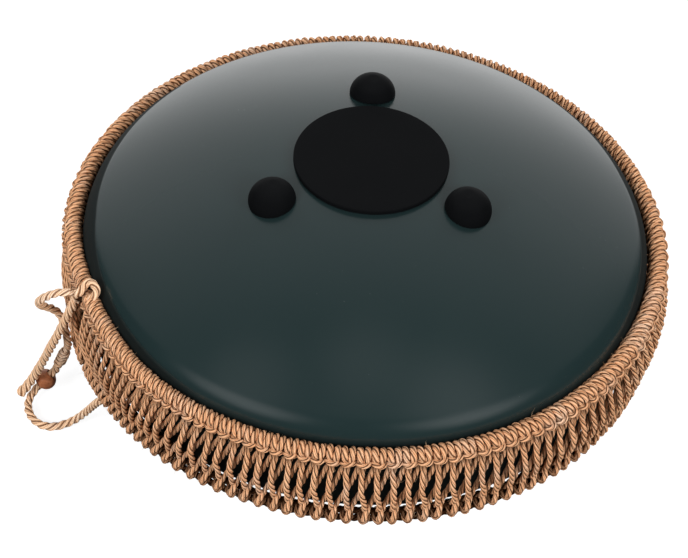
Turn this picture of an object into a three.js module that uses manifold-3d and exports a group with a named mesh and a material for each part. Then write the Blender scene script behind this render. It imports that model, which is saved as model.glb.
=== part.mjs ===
// Steel tongue drum with a knotted rope net, lying on its tongue face with its rubber feet up.
// Millimetres, +Z up. The origin is the middle of the flat crown that the drum lies on.
import * as THREE from 'three';
import { mergeVertices } from 'three/addons/utils/BufferGeometryUtils.js';
import Module from 'manifold-3d';

// Pressed steel shells, two alike dished heads set rim to rim.
const shellRadius = 152.5;
const wallThickness = 1.6;
const crownRadius = 275;
const knuckleRadius = 18;
const flangeLength = 18;
const crownFlatRadius = 34;
const shellSegments = 44;
const crownSteps = 5;
const knuckleSteps = 4;

// Joggled lap where the bottom shell's lip enters the tongue shell.
const lipLength = 6;
const joggleLength = 3;
const lapClearance = 0.3;
const seatGap = 0.3;

// Sound hole and its rubber cap.
const soundHoleRadius = 30;
const capRadius = 41;
const capThickness = 2.2;
const capEdgeRound = 0.7;
const capSegments = 36;
const spigotClearance = 0.4;
const spigotWall = 3;
const spigotLength = 9;

// Rubber feet: half balls with a stem pushed through the shell and a barb behind it.
const footCount = 3;
const footCircleRadius = 58.4;
const footRadius = 12.5;
const footHeight = 11.2;
const footWear = 0.35;
const stemRadius = 2.9;
const stemClearance = 0.3;
const barbRadius = 4.6;
const barbLength = 3.5;

// Tongues: U-shaped slots whose free ends point to the middle, the longest and lowest note first.
const tongueCount = 8;
const tongueTipRadius = 47;
const longestTongue = 70;
const shortestTongue = 46;
const widestTongue = 34;
const narrowestTongue = 25;
const slotWidth = 1.8;
const middleTongueLength = 44;
const middleTongueWidth = 30;

// Rope net: lark's head knots on an upper ring cord, legs that cross, and knots on a lower ring cord.
const ringCordRadius = 2;
const ringCordClearance = 0.45;
const netClearance = 0.76;
const upperKnotRadius = 5.7;
const lowerKnotRadius = 4.9;
const knotGroove = 0.8;
const upperRingRise = 1.5;
const netHeight = 45.5;
const lowerRingDrawIn = 0.9;
const panelCount = 12;
const knotsPerPanel = 10;
const legShare = 0.5;
const frontLegLead = 0.25;
const backLegReach = 2;
const backLegThickness = 3.3;
const panelGap = 0.3;

// Tie on the left: the upper ring cord's ends meet in a knot over a gap in the net.
const tieAngle = THREE.MathUtils.degToRad(202.9);
const tieGapAngle = THREE.MathUtils.degToRad(5);
const tieKnotRadius = 6.2;
const tieKnotRise = 5.2;
const tieKnotOffset = 0.2;
const tieKnotClearance = 0.4;
const tieKnotTurns = 3;
const knotExitGap = 0.6;
const tieCordRadius = 2.3;
const tieTailRadius = 2.6;
const tieCordSides = 8;
const stopperRadius = 3.5;
const stopperLength = 19;
const stopperTurns = 5;
const turnGroove = 0.9;
const beadRadius = 5.8;
const beadClearance = 0.35;
const buttGap = 0.3;

// Heights that follow from the driving sizes.
const crownDrop = Math.sqrt((crownRadius - knuckleRadius) ** 2 - (shellRadius - knuckleRadius) ** 2);
const flatDrop = Math.sqrt(crownRadius ** 2 - crownFlatRadius ** 2);
const headRise = flatDrop - crownDrop;
const headDepth = headRise + flangeLength;
const bottomRimHeight = headDepth + seatGap;
const crownTop = bottomRimHeight + headDepth;
const crownCentreHeight = crownTop - flatDrop;
const upperKnuckleHeight = bottomRimHeight + flangeLength;
const upperRingHeight = upperKnuckleHeight + upperRingRise;
const lowerRingHeight = upperRingHeight - netHeight;
const upperSides = 6;
const lowerSides = 5;
const upperRingRadius = shellRadius + netClearance + upperKnotRadius * Math.cos(Math.PI / upperSides);
const lowerRingRadius = upperRingRadius - lowerRingDrawIn;
const footTilt = Math.asin(footCircleRadius / crownRadius);

const wasm = await Module();
wasm.setup();

// A closed three.js geometry as a solid that can be cut.
function toSolid(geometry) {
  const bare = geometry.index ? geometry.toNonIndexed() : geometry.clone();
  bare.deleteAttribute('normal');
  bare.deleteAttribute('uv');
  const merged = mergeVertices(bare, 1e-4);
  const corners = merged.index.array;
  const kept = [];
  for (let i = 0; i < corners.length; i += 3) {
    const [a, b, c] = [corners[i], corners[i + 1], corners[i + 2]];
    if (a !== b && b !== c && c !== a) kept.push(a, b, c);
  }
  const vertProperties = new Float32Array(merged.attributes.position.array);
  return new wasm.Manifold(new wasm.Mesh({ numProp: 3, vertProperties, triVerts: new Uint32Array(kept) }));
}

function toGeometry(solid) {
  const mesh = solid.getMesh();
  const geometry = new THREE.BufferGeometry();
  geometry.setAttribute('position', new THREE.BufferAttribute(new Float32Array(mesh.vertProperties), 3));
  geometry.setIndex(new THREE.BufferAttribute(new Uint32Array(mesh.triVerts), 1));
  geometry.computeVertexNormals();
  return geometry;
}

function subtract(geometry, cutters) {
  let solid = toSolid(geometry);
  for (const cutter of cutters) solid = solid.subtract(toSolid(cutter));
  return toGeometry(solid);
}

// A revolved piece about Z from points of radius and height that run anticlockwise round the section.
function revolve(points, segments) {
  return new THREE.LatheGeometry(points, segments).rotateX(Math.PI / 2);
}

const point = (radius, height) => new THREE.Vector2(radius, height);

function arcPoints(centre, radius, from, to, steps) {
  const points = [];
  for (let i = 0; i <= steps; i += 1) {
    const angle = from + ((to - from) * i) / steps;
    points.push(point(centre.x + radius * Math.cos(angle), centre.y + radius * Math.sin(angle)));
  }
  return points;
}

// Knuckle and crown of a head, from the flange up to the flat, at a depth below the outer face.
// Heights count from the rim.
function headCurve(depth) {
  const knuckle = point(shellRadius - knuckleRadius, flangeLength);
  const crown = point(0, flangeLength - crownDrop);
  const meeting = Math.acos(knuckle.x / (crownRadius - knuckleRadius));
  const flatEdge = Math.acos(crownFlatRadius / crownRadius);
  return [
    ...arcPoints(knuckle, knuckleRadius - depth, 0, meeting, knuckleSteps),
    ...arcPoints(crown, crownRadius - depth, meeting, flatEdge, crownSteps).slice(1),
  ];
}

// The tongue shell's section: a plain rim and a closed crown.
function tongueShellSection() {
  const outer = headCurve(0);
  const inner = headCurve(wallThickness).reverse();
  return [
    point(0, headDepth - wallThickness),
    ...inner,
    point(shellRadius - wallThickness, 0),
    point(shellRadius, 0),
    ...outer,
    point(0, headDepth),
  ];
}

// The bottom shell's section: a lip that steps in under the other rim, and an open crown.
function bottomShellSection() {
  const lipOuter = shellRadius - wallThickness - lapClearance;
  const lipInner = lipOuter - wallThickness;
  const holeBottom = point(soundHoleRadius, headDepth - wallThickness);
  return [
    holeBottom,
    ...headCurve(wallThickness).reverse(),
    point(shellRadius - wallThickness, wallThickness + joggleLength),
    point(lipInner, wallThickness),
    point(lipInner, -lipLength),
    point(lipOuter, -lipLength),
    point(lipOuter, 0),
    point(shellRadius, 0),
    ...headCurve(0),
    point(soundHoleRadius, headDepth),
    holeBottom.clone(),
  ];
}

// A U-shaped slot through the crown, with its round free end at the origin end of +X.
function tongueSlot(width, length) {
  const outer = width / 2 + slotWidth / 2;
  const inner = width / 2 - slotWidth / 2;
  const shape = new THREE.Shape();
  shape.moveTo(length, outer);
  shape.absarc(outer, 0, outer, Math.PI / 2, (3 * Math.PI) / 2, false);
  shape.lineTo(length, -outer);
  shape.lineTo(length, -inner);
  shape.absarc(outer, 0, inner, (3 * Math.PI) / 2, Math.PI / 2, true);
  shape.lineTo(length, inner);
  return new THREE.ExtrudeGeometry(shape, { depth: headDepth, bevelEnabled: false, curveSegments: 5 });
}

// The ring of tongues steps from side to side, from the lowest note to the highest opposite it.
function tongueCutters() {
  const cutters = [];
  for (let i = 0; i < tongueCount; i += 1) {
    const share = i / (tongueCount - 1);
    const width = THREE.MathUtils.lerp(widestTongue, narrowestTongue, share);
    const length = THREE.MathUtils.lerp(longestTongue, shortestTongue, share);
    const side = i % 2 === 0 ? 1 : -1;
    const angle = (side * Math.ceil(i / 2) * 2 * Math.PI) / tongueCount;
    const slot = tongueSlot(width, length).translate(tongueTipRadius, 0, flangeLength);
    cutters.push(slot.rotateZ(angle + Math.PI / 2));
  }
  const middle = tongueSlot(middleTongueWidth, middleTongueLength);
  cutters.push(middle.translate(-middleTongueLength / 2, 0, flangeLength).rotateZ(Math.PI / 2));
  return cutters;
}

// Puts a geometry that stands on Z = 0 on the bottom shell's crown, square to it.
function ontoCrown(geometry, index) {
  const angle = Math.PI / 2 + (index * 2 * Math.PI) / footCount;
  return geometry
    .translate(0, 0, crownRadius)
    .rotateY(footTilt)
    .rotateZ(angle)
    .translate(0, 0, crownCentreHeight);
}

const footSegments = 16;

function footHole(index) {
  const radius = stemRadius + stemClearance;
  const depth = 6 * wallThickness;
  const hole = new THREE.CylinderGeometry(radius, radius, depth, footSegments).rotateX(Math.PI / 2);
  return ontoCrown(hole, index).translate(0, 0, -bottomRimHeight);
}

// Half ball, stem and barb in one moulding, with the tip worn flat where the drum stands on it.
function footGeometry(index) {
  const domeSteps = 5;
  const barbTop = -wallThickness - seatGap;
  const dome = [];
  for (let i = 0; i <= domeSteps; i += 1) {
    const angle = (i / domeSteps) * (Math.PI / 2);
    dome.push(point(footRadius * Math.cos(angle), seatGap + footHeight * Math.sin(angle)));
  }
  dome[domeSteps].x = 0;
  const section = [
    point(0, barbTop - barbLength),
    point(stemRadius, barbTop - barbLength),
    point(barbRadius, barbTop),
    point(stemRadius, barbTop),
    point(stemRadius, seatGap),
    ...dome,
  ];
  const foot = ontoCrown(revolve(section, footSegments), index);
  foot.computeBoundingBox();
  const tip = foot.boundingBox.max.z;
  const wornHeight = 2 * footHeight;
  const worn = new THREE.BoxGeometry(4 * shellRadius, 4 * shellRadius, wornHeight);
  return subtract(foot, [worn.translate(0, 0, tip - footWear + wornHeight / 2)]);
}

// Flat rubber disc with a rounded edge and a ring spigot that drops into the sound hole.
function capSection() {
  const spigotOuter = soundHoleRadius - spigotClearance;
  const spigotInner = spigotOuter - spigotWall;
  const edge = point(capRadius - capEdgeRound, capThickness - capEdgeRound);
  return [
    point(0, 0),
    point(spigotInner, 0),
    point(spigotInner, -spigotLength),
    point(spigotOuter, -spigotLength),
    point(spigotOuter, 0),
    point(capRadius, 0),
    ...arcPoints(edge, capEdgeRound, 0, Math.PI / 2, 2),
    point(0, capThickness),
  ];
}

// A level arc round the drum's axis.
class RingCurve extends THREE.Curve {
  constructor(radius, from, sweep, height) {
    super();
    Object.assign(this, { radius, from, sweep, height });
  }

  getPoint(t, target = new THREE.Vector3()) {
    const angle = this.from + this.sweep * t;
    return target.set(this.radius * Math.cos(angle), this.radius * Math.sin(angle), this.height);
  }
}

function polygonShape(radius, sides) {
  const shape = new THREE.Shape();
  for (let i = 0; i < sides; i += 1) {
    const angle = ((i + 0.5) * 2 * Math.PI) / sides;
    shape[i === 0 ? 'moveTo' : 'lineTo'](radius * Math.cos(angle), radius * Math.sin(angle));
  }
  return shape;
}

function sweep(path, radius, sides, steps) {
  const settings = { steps, bevelEnabled: false, extrudePath: path };
  return new THREE.ExtrudeGeometry(polygonShape(radius, sides), settings);
}

const ringCordSides = 6;
const boreStations = 3;
const ringCordSteps = boreStations * panelCount;

function upperRingCordGeometry() {
  const knotAngle = (2 * (tieKnotHalfLength + buttGap)) / upperRingRadius;
  const path = new RingCurve(upperRingRadius, tieAngle + knotAngle / 2, 2 * Math.PI - knotAngle, upperRingHeight);
  return sweep(path, ringCordRadius, ringCordSides, ringCordSteps);
}

function lowerRingCordGeometry() {
  const centre = point(lowerRingRadius, lowerRingHeight);
  const section = arcPoints(centre, ringCordRadius, 0, 2 * Math.PI, ringCordSides);
  section[ringCordSides] = section[0].clone();
  return revolve(section, ringCordSteps);
}

// Net layout by angle: the panels share the turn that the tie leaves.
const netAngle = 2 * Math.PI - tieGapAngle;
const panelAngle = netAngle / panelCount;
const knotPitch = panelAngle / knotsPerPanel;

// One panel of the net: a row of knots on each ring cord, joined by front legs and crossing back legs.
function netPanelGeometry(panel) {
  const positions = [];
  const triangles = [];
  const put = (radius, angle, height) => {
    positions.push(radius * Math.cos(angle), radius * Math.sin(angle), height);
    return positions.length / 3 - 1;
  };
  const quad = (a, b, c, d) => triangles.push(a, b, c, a, c, d);
  const panelStart = tieAngle + tieGapAngle / 2 + panel * panelAngle;
  const legHalf = (legShare * knotPitch) / 2;

  // A knot row round one ring cord. Each knot has a ridge where its legs start and a groove after it.
  function knotRow(row) {
    const edge = panelGap / 2 / row.ringRadius;
    const start = panelStart + row.lead * knotPitch;
    const groove = row.knotRadius - knotGroove;
    const stations = [{ angle: start + edge, radius: groove }];
    for (let i = 0; i < knotsPerPanel; i += 1) {
      const middle = start + (i + 0.5) * knotPitch;
      stations.push({ angle: middle - legHalf, radius: row.knotRadius });
      stations.push({ angle: middle + legHalf, radius: groove });
    }
    stations.push({ angle: start + panelAngle - edge, radius: groove });
    const turn = (side) => row.firstCorner + (side * 2 * Math.PI) / row.sides;
    const ringOf = (angle, radius) => {
      const ring = [];
      for (let side = 0; side < row.sides; side += 1) {
        const outward = row.ringRadius + radius * Math.cos(turn(side));
        ring.push(put(outward, angle, row.ringHeight + radius * Math.sin(turn(side))));
      }
      return ring;
    };
    const outer = stations.map((station) => ringOf(station.angle, station.radius));
    const boreRadius = (ringCordRadius + ringCordClearance) / Math.cos(Math.PI / row.sides);
    const last = outer.length - 1;
    const bore = [];
    for (let i = 0; i <= boreStations; i += 1) {
      bore.push(ringOf(start + edge + ((panelAngle - 2 * edge) * i) / boreStations, boreRadius));
    }
    for (let side = 0; side < row.sides; side += 1) {
      const next = (side + 1) % row.sides;
      for (let k = 0; k < last; k += 1) {
        const legStarts = k % 2 === 1 && row.hasLeg(side, (k - 1) / 2);
        if (!legStarts) quad(outer[k][side], outer[k + 1][side], outer[k + 1][next], outer[k][next]);
      }
      for (let i = 0; i < boreStations; i += 1) {
        quad(bore[i][side], bore[i][next], bore[i + 1][next], bore[i + 1][side]);
      }
      quad(outer[0][side], outer[0][next], bore[0][next], bore[0][side]);
      quad(outer[last][next], outer[last][side], bore[boreStations][side], bore[boreStations][next]);
    }
    return { outer, start, facet: (side, knot) => facetOf(outer, side, (side + 1) % row.sides, knot) };
  }

  const facetOf = (outer, side, next, knot) => {
    const k = 2 * knot + 1;
    return [outer[k][side], outer[k + 1][side], outer[k + 1][next], outer[k][next]];
  };

  // Corner numbers run from the inner side round the underside, and from the outer side over the top.
  const [backRoot, frontRoot] = [0, 1];
  const [frontLanding, backLanding] = [0, 1];
  const isFirstPanel = panel === 0;
  const backLegMissing = (knot) => isFirstPanel && knot < backLegReach;
  const upper = knotRow({
    ringRadius: upperRingRadius,
    ringHeight: upperRingHeight,
    knotRadius: upperKnotRadius,
    sides: upperSides,
    firstCorner: (7 * Math.PI) / 6,
    lead: 0,
    hasLeg: (side, knot) => side === frontRoot || (side === backRoot && !backLegMissing(knot)),
  });
  const lowerRow = {
    ringRadius: lowerRingRadius,
    ringHeight: lowerRingHeight,
    knotRadius: lowerKnotRadius,
    sides: lowerSides,
    firstCorner: Math.PI / 10,
    lead: frontLegLead,
    hasLeg: (side, knot) => side === frontLanding || (side === backLanding && knot < knotsPerPanel - backLegReach),
  };
  const lower = knotRow(lowerRow);

  const wall = (from, to) => {
    for (let i = 0; i < from.length; i += 1) {
      const j = (i + 1) % from.length;
      quad(from[i], from[j], to[j], to[i]);
    }
  };
  const backInner = shellRadius + netClearance;
  const backOuter = backInner + backLegThickness;
  const middleHeight = (upperRingHeight + lowerRingHeight) / 2;

  for (let knot = 0; knot < knotsPerPanel; knot += 1) {
    wall(upper.facet(frontRoot, knot), lower.facet(frontLanding, knot).reverse());
    if (backLegMissing(knot)) continue;
    const root = upper.facet(backRoot, knot);
    const middle = panelStart + (knot + 0.5 + (frontLegLead - backLegReach) / 2) * knotPitch;
    const waist = [
      put(backInner, middle - legHalf, middleHeight),
      put(backInner, middle + legHalf, middleHeight),
      put(backOuter, middle + legHalf, middleHeight),
      put(backOuter, middle - legHalf, middleHeight),
    ];
    wall(root, waist);
    const landing = knot - backLegReach;
    if (landing >= 0) {
      wall(waist, lower.facet(backLanding, landing).reverse());
    } else {
      const end = looseLanding(lower.start + (landing + 0.5) * knotPitch);
      wall(waist, end);
      quad(...end);
    }
  }

  // Where a back leg reaches into the next panel's knots it stops just above them.
  function looseLanding(middle) {
    const corner = (side, angle, radius) => {
      const turn = lowerRow.firstCorner + (side * 2 * Math.PI) / lowerSides;
      const facing = lowerRow.firstCorner + ((backLanding + 0.5) * 2 * Math.PI) / lowerSides;
      const outward = lowerRingRadius + radius * Math.cos(turn) + buttGap * Math.cos(facing);
      return put(outward, angle, lowerRingHeight + radius * Math.sin(turn) + buttGap * Math.sin(facing));
    };
    const groove = lowerKnotRadius - knotGroove;
    return [
      corner(backLanding + 1, middle - legHalf, lowerKnotRadius),
      corner(backLanding + 1, middle + legHalf, groove),
      corner(backLanding, middle + legHalf, groove),
      corner(backLanding, middle - legHalf, lowerKnotRadius),
    ];
  }

  const geometry = new THREE.BufferGeometry();
  geometry.setAttribute('position', new THREE.Float32BufferAttribute(positions, 3));
  geometry.setIndex(triangles);
  geometry.computeVertexNormals();
  return geometry;
}

// A wrapped knot: a barrel of round turns about Z, centred on the origin.
function wrappedKnot(radius, length, turns, segments) {
  const section = [point(0, -length / 2)];
  for (let i = 0; i < turns; i += 1) {
    const start = -length / 2 + (i * length) / turns;
    section.push(point(radius - turnGroove, start));
    section.push(point(radius, start + length / turns / 2));
  }
  section.push(point(radius - turnGroove, length / 2), point(0, length / 2));
  return revolve(section, segments);
}

const tieKnotHalfLength = (tieGapAngle * upperRingRadius) / 2 - tieKnotClearance;
const knotSegments = 12;

// Routes of the tie's cords in the tie's axes: out from the upper ring cord, along it, and height.
const route = (points) => new THREE.CatmullRomCurve3(points.map((p) => new THREE.Vector3(...p)));
const stopperMiddle = new THREE.Vector3(9.7, -17, 34);
const stopperAxis = new THREE.Vector3(4, -7.2, -20.3).normalize();
const beadMiddle = new THREE.Vector3(18.4, -22.9, 12.7);
const beadAxis = new THREE.Vector3(5.9, -0.5, -6).normalize();
const alongStopper = (distance) => stopperMiddle.clone().addScaledVector(stopperAxis, distance).toArray();
const alongBead = (distance) => beadMiddle.clone().addScaledVector(beadAxis, distance).toArray();
const stopperEnd = stopperLength / 2 + buttGap;
const floorCord = tieCordRadius + 0.4;
const netUnderside = lowerRingHeight - lowerKnotRadius * Math.cos(Math.PI / lowerSides);

// A cord's first point, just clear of the tie knot's turns at an angle up from the level.
function knotExit(along, degrees) {
  const angle = THREE.MathUtils.degToRad(degrees);
  const reach = tieKnotRadius + knotExitGap;
  const height = upperRingHeight + tieKnotRise + reach * Math.sin(angle);
  return [tieKnotOffset + reach * Math.cos(angle), along, height];
}

const loopRoute = route([
  knotExit(-2.8, 7),
  [10, -3.6, 98],
  [13.2, -4.9, 97.2],
  [16.3, -6.8, 94.9],
  [19.2, -9.3, 91.2],
  [21, -12.2, 86.4],
  [20.4, -14.9, 81],
  [17.2, -16.7, 76.7],
  [13.5, -17.7, 72.9],
  [10.4, -17.5, 69.1],
  [8.7, -15.9, 65.2],
  [8.2, -13.3, 61.2],
  [8, -11.3, 57.2],
  [7.6, -11, 52.2],
  alongStopper(-stopperEnd - 3.2),
  alongStopper(-stopperEnd),
]);

const tailRoute = route([
  knotExit(-3.4, -59),
  [5.9, -3.4, 86],
  [10.1, -4.6, 75],
  [13.7, -6.6, 64],
  [17.1, -10.2, 52],
  [20.8, -15.6, 36],
  [25.2, -19.8, 21.5],
  [29.6, -21.2, 13],
  [34.9, -20, 8.8],
]);

const drawstringRoute = route([
  alongStopper(stopperEnd),
  alongStopper(stopperEnd + 2.2),
  [13.4, -22.1, 18.4],
  alongBead(-4),
  beadMiddle.toArray(),
  alongBead(4.2),
  [24.4, -22.6, 7.1],
  [27.5, -21, 5.1],
  [30, -18.3, 3.6],
  [31.5, -14.2, floorCord + 0.1],
  [31.7, -8.7, floorCord],
  [30.2, -3.5, floorCord],
  [27, 0.7, floorCord],
  [22.3, 3.1, floorCord],
  [16.5, 3.6, floorCord + 0.2],
  [10.8, 4.4, 5.2],
  [6.1, 7.2, 11.6],
  [2.8, 13.1, 22.5],
  [0.7, 20.4, netUnderside - 8],
  [-0.7, 23.2, netUnderside - 4.4],
  [-2.2, 25.2, netUnderside - 1.95],
]);

function beadGeometry() {
  const boreRadius = tieCordRadius + beadClearance;
  const rim = Math.acos(boreRadius / beadRadius);
  const section = arcPoints(point(0, 0), beadRadius, -rim, rim, 8);
  section.push(section[0].clone());
  return revolve(section, knotSegments);
}

const paintedSteel = new THREE.MeshStandardMaterial({ color: 0x2c3939, roughness: 0.4, metalness: 0.5 });
const blackRubber = new THREE.MeshStandardMaterial({ color: 0x18191b, roughness: 0.75, metalness: 0 });
const jute = new THREE.MeshStandardMaterial({ color: 0xc08a5a, roughness: 0.95, metalness: 0 });
const ringJute = new THREE.MeshStandardMaterial({ color: 0xa8744a, roughness: 0.95, metalness: 0 });
const beadWood = new THREE.MeshStandardMaterial({ color: 0x9c5230, roughness: 0.5, metalness: 0 });

const drum = new THREE.Group();

function add(parent, name, geometry, material) {
  const mesh = new THREE.Mesh(geometry, material);
  mesh.name = name;
  parent.add(mesh);
  return mesh;
}

// The two shells: the tongue shell is turned over, rim up, and the bottom shell stands on it.
const tongueShellGeometry = subtract(revolve(tongueShellSection(), shellSegments), tongueCutters());
const tongueShell = add(drum, 'tongue_shell', tongueShellGeometry, paintedSteel);
tongueShell.rotation.x = Math.PI;
tongueShell.position.z = headDepth;

const feet = Array.from({ length: footCount }, (unused, index) => index);
const bottomShellGeometry = subtract(revolve(bottomShellSection(), shellSegments), feet.map(footHole));
const bottomShell = add(drum, 'bottom_shell', bottomShellGeometry, paintedSteel);
bottomShell.position.z = bottomRimHeight;

const portCap = add(drum, 'port_cap', revolve(capSection(), capSegments), blackRubber);
portCap.position.z = crownTop + seatGap;

for (const index of feet) add(drum, `foot_${index + 1}`, footGeometry(index), blackRubber);

// The net.
add(drum, 'upper_ring_cord', upperRingCordGeometry(), ringJute);
add(drum, 'lower_ring_cord', lowerRingCordGeometry(), ringJute);
for (let panel = 0; panel < panelCount; panel += 1) {
  const number = String(panel + 1).padStart(2, '0');
  add(drum, `net_panel_${number}`, netPanelGeometry(panel), jute);
}

// The tie, in axes that turn with it.
const tie = new THREE.Group();
tie.rotation.z = tieAngle;
tie.position.set(upperRingRadius * Math.cos(tieAngle), upperRingRadius * Math.sin(tieAngle), 0);
drum.add(tie);

const tieKnotGeometry = wrappedKnot(tieKnotRadius, 2 * tieKnotHalfLength, tieKnotTurns, knotSegments);
const tieKnot = add(tie, 'tie_knot', tieKnotGeometry, jute);
tieKnot.rotation.x = Math.PI / 2;
tieKnot.position.set(tieKnotOffset, 0, upperRingHeight + tieKnotRise);

add(tie, 'tie_loop_cord', sweep(loopRoute, tieCordRadius, tieCordSides, 26), jute);
add(tie, 'tie_tail_cord', sweep(tailRoute, tieTailRadius, tieCordSides, 18), jute);
add(tie, 'tie_drawstring', sweep(drawstringRoute, tieCordRadius, tieCordSides, 30), jute);

const upAxis = new THREE.Vector3(0, 0, 1);
const stopperGeometry = wrappedKnot(stopperRadius, stopperLength, stopperTurns, knotSegments);
const stopper = add(tie, 'tie_stopper_knot', stopperGeometry, jute);
stopper.position.copy(stopperMiddle);
stopper.quaternion.setFromUnitVectors(upAxis, stopperAxis);

const bead = add(tie, 'tie_bead', beadGeometry(), beadWood);
bead.position.copy(beadMiddle);
bead.quaternion.setFromUnitVectors(upAxis, beadAxis);

export default drum;
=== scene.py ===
import math

import bmesh
import bpy
import numpy as np
from mathutils import Matrix, Vector


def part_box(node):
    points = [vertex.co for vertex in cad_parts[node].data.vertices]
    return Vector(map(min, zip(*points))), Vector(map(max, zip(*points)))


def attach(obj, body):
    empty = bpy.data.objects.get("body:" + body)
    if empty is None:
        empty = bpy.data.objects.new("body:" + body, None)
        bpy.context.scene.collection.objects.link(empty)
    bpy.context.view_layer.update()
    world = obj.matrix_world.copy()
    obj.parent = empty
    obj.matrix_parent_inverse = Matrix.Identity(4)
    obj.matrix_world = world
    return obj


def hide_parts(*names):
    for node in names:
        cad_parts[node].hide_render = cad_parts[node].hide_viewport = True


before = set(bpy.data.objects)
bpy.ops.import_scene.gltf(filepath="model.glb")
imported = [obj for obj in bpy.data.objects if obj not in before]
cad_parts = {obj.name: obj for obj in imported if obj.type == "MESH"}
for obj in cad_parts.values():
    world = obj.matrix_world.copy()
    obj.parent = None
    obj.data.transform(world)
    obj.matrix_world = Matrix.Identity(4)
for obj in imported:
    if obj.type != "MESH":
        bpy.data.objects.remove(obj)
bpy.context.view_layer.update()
scene = bpy.context.scene
mm = 0.001
print("frame loaded, nodes:", len(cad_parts))

# camera, set to the photograph's view of the drum (millimetres)
viewSet = {
    "place": (-30.88, -830.49, 907.87),
    "right": (0.99864, 0.02314, 0.04678),
    "down": (0.0492, -0.71646, -0.69589),
    "ahead": (0.01742, 0.69724, -0.71663),
    "focalPixels": 2150.04,
    "imageWidth": 688,
    "sensor": 36,
    "clip": (0.05, 30),
}


def addObject(name, data):
    made = bpy.data.objects.new(name, data)
    scene.collection.objects.link(made)
    return made


def setCamera(v):
    data = bpy.data.cameras.new("drumView")
    data.sensor_width = v["sensor"]
    data.lens = v["focalPixels"] * v["sensor"] / v["imageWidth"]
    data.clip_start, data.clip_end = v["clip"]
    cam = addObject("drumView", data)
    right, down, ahead = (Vector(v[k]).normalized() for k in ("right", "down", "ahead"))
    turn = Matrix((right, -down, -ahead)).transposed()
    cam.matrix_world = Matrix.Translation(Vector(v["place"]) * mm) @ turn.to_4x4()
    scene.camera = cam


setCamera(viewSet)
print("camera set")


# node helpers; a new material comes with its tree, its shader and the place on the piece
def newMaterial(name):
    mat = bpy.data.materials.new(name)
    mat.use_nodes = True
    nodes = mat.node_tree.nodes
    nodes.clear()
    out = nodes.new("ShaderNodeOutputMaterial")
    shader = nodes.new("ShaderNodeBsdfPrincipled")
    mat.node_tree.links.new(shader.outputs[0], out.inputs["Surface"])
    place = nodes.new("ShaderNodeTexCoord").outputs["Object"]
    return mat, mat.node_tree, shader, place


def dress(tree, shader, colour, rough, normal=None):
    for value, socket in ((colour, "Base Color"), (rough, "Roughness"), (normal, "Normal")):
        if value is not None:
            tree.links.new(value, shader.inputs[socket])


def node(tree, kind, values=None, **settings):
    made = tree.nodes.new("ShaderNode" + kind)
    for key, value in settings.items():
        setattr(made, key, value)
    for key, value in (values or {}).items():
        socket = made.inputs[key]
        if isinstance(value, bpy.types.NodeSocket):
            tree.links.new(value, socket)
        else:
            socket.default_value = value
    return made


def calc(tree, operation, a, b=0.0):
    return node(tree, "Math", {0: a, 1: b}, operation=operation).outputs[0]


def times(tree, a, b):
    return calc(tree, "MULTIPLY", a, b)


def dotOf(tree, a, b):
    return node(tree, "VectorMath", {0: a, 1: b}, operation="DOT_PRODUCT").outputs["Value"]


def lengthOf(tree, vector):
    return node(tree, "VectorMath", {0: vector}, operation="LENGTH").outputs["Value"]


def blend(tree, share, a, b):
    return node(tree, "Mix", {0: share, 2: a, 3: b}, data_type="FLOAT").outputs[0]


def blendColour(tree, share, a, b):
    return node(tree, "Mix", {0: share, 6: a, 7: b}, data_type="RGBA").outputs[2]


def remap(tree, value, lowIn, highIn, lowOut, highOut, smooth=False):
    kind = "SMOOTHSTEP" if smooth else "LINEAR"
    values = {0: value, 1: lowIn, 2: highIn, 3: lowOut, 4: highOut}
    return node(tree, "MapRange", values, interpolation_type=kind, clamp=True).outputs[0]


def grain(tree, vector, scale, detail=3.0, rough=0.55):
    values = {"Vector": vector, "Scale": scale, "Detail": detail, "Roughness": rough}
    return node(tree, "TexNoise", values).outputs["Fac"]


def bumpOf(tree, height, distance, strength=1.0, under=None):
    values = {"Height": height, "Distance": distance, "Strength": strength}
    if under is not None:
        values["Normal"] = under
    return node(tree, "Bump", values).outputs[0]


# jute rope: fibres run along each twisted strand, grooves between strands and yarns hold less light, which
# is painted into the colour as shade
jute = {
    "light": (0.87, 0.60, 0.395, 1),
    "middle": (0.95, 0.445, 0.20, 1),
    "dark": (0.42, 0.15, 0.055, 1),
    "deepShade": (0.026, 0.0075, 0.0025, 1),
    "pale": (0.90, 0.72, 0.57, 1),
    "roughness": (0.78, 0.98),
    "fibreLength": 0.0045,
    "fibresRound": 34,
    "strands": 3.0,
    "yarns": 6.0,
    "fibreDepth": 0.00035,
    # each pattern's range, its share at both ends of it, and whether it is eased
    "streaks": (0.3, 0.72, 0.0, 1.0),
    "patches": (0.54, 0.74, 0.0, 0.4),
    "blotches": (0.52, 0.72, 0.0, 0.5),
    "cordTint": (0.0, 1.0, 0.0, 0.18),
    # painted shade in the grooves between yarns and between strands
    "yarnGrooveShade": (0.0, 0.62, 0.95, 0.0, True),
    "strandGrooveShade": (0.0, 0.52, 0.92, 0.0, True),
}


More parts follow.
